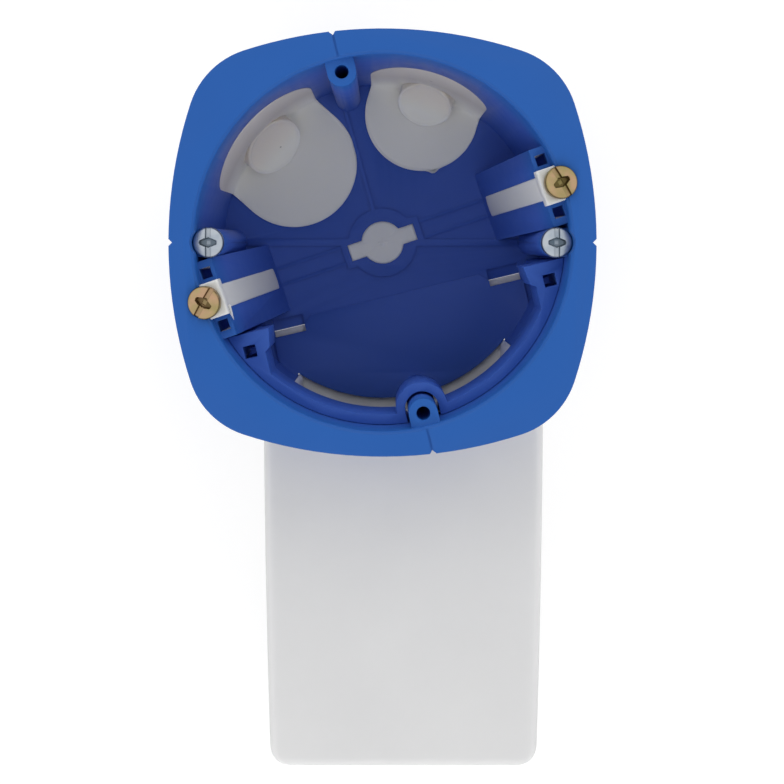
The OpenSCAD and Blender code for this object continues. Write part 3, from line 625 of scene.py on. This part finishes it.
crease = 50
for size, half_angle, turn, inset, rise, face_r, gate in (("large", 23.5, 138.5, 8, 16.5, 6.2, 0),
                                                          ("small", 21, 73, 4.8, 15, 5.5, 0.7)):
    rings = entry(turn, bore_r * math.sin(math.radians(half_angle)), inset, rise, face_r, gate)
    piece(size + "_entry_skin", [(rings, False, True)], soft, "box", "soft_white",
          size + "_entry_membrane", sharp=crease)


# %% [markdown]
# ## The membrane in the floor
# A keyhole in the floor is closed by the same soft plastic. Its outline is the greater of a
# circle and a bar, seen from the middle, so it is a polar grid too.

# %% Centre membrane
key_r, key_half, lug_half = 4.3, 7.0, 1.7
lug_at = math.asin(lug_half / key_r)
lug_tip = math.atan2(lug_half, key_half)
quarter = np.concatenate([np.linspace(0, lug_tip, 6), np.linspace(lug_tip, lug_at, 8)[1:],
                          np.linspace(lug_at, math.pi / 2, 24)[1:]])
angle = np.concatenate([quarter, np.pi - quarter[::-1][1:], np.pi + quarter[1:],
                        2 * np.pi - quarter[::-1][1:-1]])
bar = np.minimum(key_half / np.maximum(np.abs(np.cos(angle)), 1e-9),
                 lug_half / np.maximum(np.abs(np.sin(angle)), 1e-9))
reach = np.maximum(key_r, bar) - 0.01
profile = [(0, -0.35), (0.12, -0.35), (0.16, -0.2), (0.3, -0.16), (0.6, -0.12), (0.8, -0.08),
           (0.93, -0.02), (0.975, -0.03), (1, -0.1), (1, -0.95), (0.96, -1.0), (0.5, -1.0), (0, -1.0)]
key = np.stack([xyz(k * reach * np.cos(angle), k * reach * np.sin(angle), floor_top + dz)
                for k, dz in profile]) @ around(claw_turn)
piece("centre_skin", [(key, False, True)], soft, "box", "soft_white", "centre_membrane", sharp=crease)

# %% [markdown]
# ## Soft seals of the claw screws
# Under each yellow screw lies a soft pad, and a strip of the same plastic runs down the sloping
# face of the channel and keeps it airtight. The pad is a C round the screw: its inner side is a
# circle, its outer side a rectangle that ends at the wall.

# %% Claw seals
claw_r, claw_seat, claw_lean, face_lean = 31.7, 1.1, 8.0, 10.5
face_r, face_top, pad_half, strip_half, strip_long = 28.9, -2.0, 3.1, 2.1, 33.8


def pad(turn):
    """Cross-sections of the pad, carried round the screw's axis from one side of the wall to the
    other. The outer side is min(distance to the three flat sides) along each ray."""
    theta = np.radians(np.linspace(180 - 98, 180 + 98, 64))[:, None]
    heights = np.array([face_top, face_top, face_top + 0.15, 0.75, 0.98, 1.02, 1.02, 0.9,
                        face_top + 0.1])
    outer = np.array([0.15, 0.85, 1, 1, 0.9, 0.75, 0.2, 0, 0])[None, :]
    centre = claw_r - (claw_seat - heights) * math.tan(math.radians(claw_lean))
    hole, wall_r = 1.6, bore_r - 0.05
    to_front = (centre - (face_r - 0.4)) / np.maximum(-np.cos(theta), 1e-6)
    to_side = pad_half / np.maximum(np.abs(np.sin(theta)), 1e-6)
    far = np.minimum(to_front, to_side)
    to_wall = -centre * np.cos(theta) + np.sqrt(
        np.maximum(wall_r ** 2 - (centre * np.sin(theta)) ** 2, 0))
    far = np.minimum(far, np.maximum(to_wall, hole))
    rho = hole + (far - hole) * outer
    x_at = centre + rho * np.cos(theta)
    lean = np.where(heights > 0, -(x_at - claw_r) * math.tan(math.radians(claw_lean)), 0)
    return closed(xyz(x_at, rho * np.sin(theta), heights + lean)) @ around(turn)


def strip(turn):
    """A flat bar with a slightly domed front, carried down the leaning face of the channel."""
    down = np.concatenate([[-1.0], np.linspace(-0.9, strip_long - 0.15, 30), [strip_long]])
    thin = np.ones(len(down))
    thin[0] = thin[-1] = 0.8
    out, across = loops(0, 0, 0.4 * thin, strip_half * thin, 0.25, 2, 12, 4)
    dome = np.where(out < 0, 0.12 * ((across / strip_half) ** 2), 0)
    out = out + dome
    lean = math.radians(face_lean)
    x_at = face_r + out * math.cos(lean) - down[:, None] * math.sin(lean)
    z_at = face_top - out * math.sin(lean) - down[:, None] * math.cos(lean)
    return closed(xyz(x_at, across, z_at)) @ around(turn)


def flap(start, end, half, rows=10):
    """A thin tongue of flash from a start to an end point, its width shrinking to a tip."""
    t = np.linspace(0, 1, rows)[:, None]
    x, z = loops(0, 0, half * (1 - 0.9 * t[:, 0]), 0.6 * half * (1 - 0.8 * t[:, 0]), 0.1, 2, 2, 4)
    middle = np.array(start) + t * (np.array(end) - start)
    return closed(xyz(middle[:, :1] + x, middle[:, 1:2] + 0 * x, middle[:, 2:] + z))


flash = [flap((-26.5, -10.7, -0.6), (-25.6, -13.3, -1.85), 0.5)]
for side, turn, more in (("left", claw_turn + 180, flash), ("right", claw_turn, [])):
    piece("claw_pad_" + side, [(grid, False, True) for grid in [pad(turn), strip(turn)] + more], seal,
          "box", "soft_white", "claw_seal_" + side)

# %% [markdown]
# ## Screws
# The claw screws and the device screws are metric screws with a coarse thread. A thread is a
# helix: every row of its grid climbs by one pitch in a turn, and the rows take the profile's
# radii in turn, from root to crest. The head has a slot right across it, a shorter arm across the
# slot and a small square pit where they meet, all pressed into a domed disc. The disc's grid runs
# along chords, so that the walls of the slot follow the grid's lines and stay straight.

# %% Screw
def thread(r, root, pitch, low, high, n=24):
    """Helical rows: z = row * pitch / 4 + pitch * angle / 360 degrees, radius by row: root, root,
    crest, crest. Both ends are cut off flat and taper to 0.7 of the radius."""
    rows = np.arange(int((high - low) / pitch) * 4 + 8) - 4
    angle = np.linspace(0, 2 * np.pi, n + 1)
    z = low + rows[:, None] * pitch / 4 + pitch * angle / (2 * np.pi)
    radius = np.where(np.isin(rows % 4, (0, 1)), root, r)[:, None]
    z = np.clip(z, low, high)
    radius = np.minimum(radius, 0.7 * r + np.minimum(z - low, high - z))
    grid = xyz(radius * np.cos(angle), radius * np.sin(angle), z)
    ends = [xyz(0 * angle, 0 * angle, np.full(n + 1, h)) for h in (low, high)]
    return np.concatenate([ends[:1], grid, ends[1:]])


def head(r, h, slot_turn, shank):
    """Top of a head on chords q = const: z = dome less the recess; then its side and seat,
    and how dark the coat is at each point of the top: darker in the recess, partly residue and
    partly painted shade, with painted shade along the slot's walls and round the rim. The dome is
    a ball's cap, its rim rounded by rim_drop * t^2, t from 0 to 1 over the last rim_w."""
    slot, arm, arm_half, arm_tip, pit = 0.4, 1.4, 0.85, 0.3, 0.42
    slot_deep, arm_deep, pit_deep = 0.6, 0.9, 1.1
    fine = np.array([0, 0.16, 0.28, 0.34, 0.4, 0.46, 0.54])
    q = np.concatenate([fine, np.linspace(0.64, 1.54, 10), np.linspace(1.65, r - 0.12, 8),
                        [r - 0.05, r - 0.012, r]])
    q = np.concatenate([-q[:0:-1], q])
    chord = np.sqrt(np.maximum(r * r - q * q, 0))
    inner = np.concatenate([fine, [0.63, 0.72, 0.81, 0.9]])
    t = np.concatenate([inner, 1 + np.linspace(0, 1, 12)[1:] ** 0.8])
    t = np.concatenate([-t[:0:-1], t])[:, None]
    near = np.minimum(1.0, chord / 1.2)[None, :]
    p = np.sign(t) * np.where(np.abs(t) <= 0.9, np.abs(t) * near,
                              near * 0.9 + (np.abs(t) - 1) * (chord - near * 0.9))
    p, q = np.broadcast_arrays(p, q[None, :])
    crown, rim_drop, rim_w = 0.16 * h, 0.2, 0.3
    dome_r = (r * r + crown * crown) / (2 * crown)
    rho = np.hypot(p, q)
    dome = h - dome_r + np.sqrt(dome_r ** 2 - np.minimum(rho, r) ** 2)
    dome = dome - rim_drop * np.clip((rho - r + rim_w) / rim_w, 0, 1) ** 2

    def inside(distance):
        return np.clip(distance / 0.12 + 0.5, 0, 1)

    groove = inside(slot - np.abs(q))
    kite = inside(arm_tip + (arm_half - arm_tip) * (1 - np.abs(q) / arm) - np.abs(p))
    kite = kite * inside(arm - np.abs(q))
    middle = inside(pit - np.abs(p)) * groove
    cut = np.maximum(np.maximum(slot_deep * groove, arm_deep * kite), pit_deep * middle)
    z = np.maximum(dome - cut, 0.25)
    top = xyz(p, q, z)
    # Painted shade: dark lines along both walls of the slot; the slot and the arms are darker too,
    # partly residue and partly painted shade.
    edges = np.exp(-((np.abs(q) - slot) / 0.08) ** 2)
    residue_and_painted_shade = np.maximum(np.maximum(0.15 * groove, 0.7 * edges), 0.75 * kite) * (1 - 0.5 * middle)
    # Painted shade: a dark ring round the rim of the head.
    residue_and_painted_shade = np.maximum(residue_and_painted_shade, 0.85 * np.clip((rho - r + 0.22) / 0.2, 0, 1))
    rim = np.concatenate([top[-1], top[0, ::-1]])
    side = [rim]
    for k, level in ((1, 0.75), (1, 0.3), (0.985, 0.04), (0.96, 0)):
        side.append(rim * [k, k, 0] + [0, 0, 1] * np.minimum(rim[:, 2:], level * (h - crown)))
    seat = rim / np.maximum(np.hypot(rim[:, 0], rim[:, 1]), 1e-9)[:, None] * [shank, shank, 0]
    side += [seat, seat * 0]
    turn = around(slot_turn)
    return top @ turn, np.stack(side) @ turn, residue_and_painted_shade


def screw(name, look, slot, body, node, place, turn, lean, size):
    """A whole screw, stood at its seat. size: thread radius, length, head radius, head height and
    the direction of the slot."""
    r, length, head_r, head_h, slot_at = size
    top, side, residue_and_painted_shade = head(head_r, head_h, slot_at - turn, r * 0.95)
    c, s = math.cos(math.radians(lean)), math.sin(math.radians(lean))
    tip = np.array([[c, 0, -s], [0, 1, 0], [s, 0, c]])
    helix = thread(r, r - thread_deep, thread_pitch, -length, into_head)
    grids = [(top, False, False), (side, False, True), (helix, False, False)]
    placed = [((g @ tip + [place[0], 0, place[1]]) @ around(turn), u, v) for g, u, v in grids]
    piece(name, placed, look, body, slot, node, sharp=35, residue_and_painted_shade=residue_and_painted_shade)


thread_r, thread_deep, thread_pitch, into_head = 1.5, 0.3, 0.5, 0.1
claw_tip_gap, claw_head_r, claw_head_h = 3, 2.8, 1.72
device_seat, device_len, device_head_r, device_head_h = -2.8, 20, 2.65, 2.0
claw_len = (claw_seat - floor_top - claw_tip_gap) / math.cos(math.radians(claw_lean))
for side, turn, slot_at in (("left", claw_turn + 180, 60), ("right", claw_turn, 121)):
    screw("claw_screw_" + side + "_threaded", yellow, "yellow_zinc", side + "_screw",
          "claw_screw_" + side, (claw_r, claw_seat), turn, claw_lean,
          (thread_r, claw_len, claw_head_r, claw_head_h, slot_at))
for side, turn in (("left", 180), ("right", 0)):
    screw("device_screw_" + side + "_threaded", zinc, "white_zinc", "box", "device_screw_" + side,
          (device_r, device_seat), turn, 0,
          (thread_r, device_len, device_head_r, device_head_h, 90))
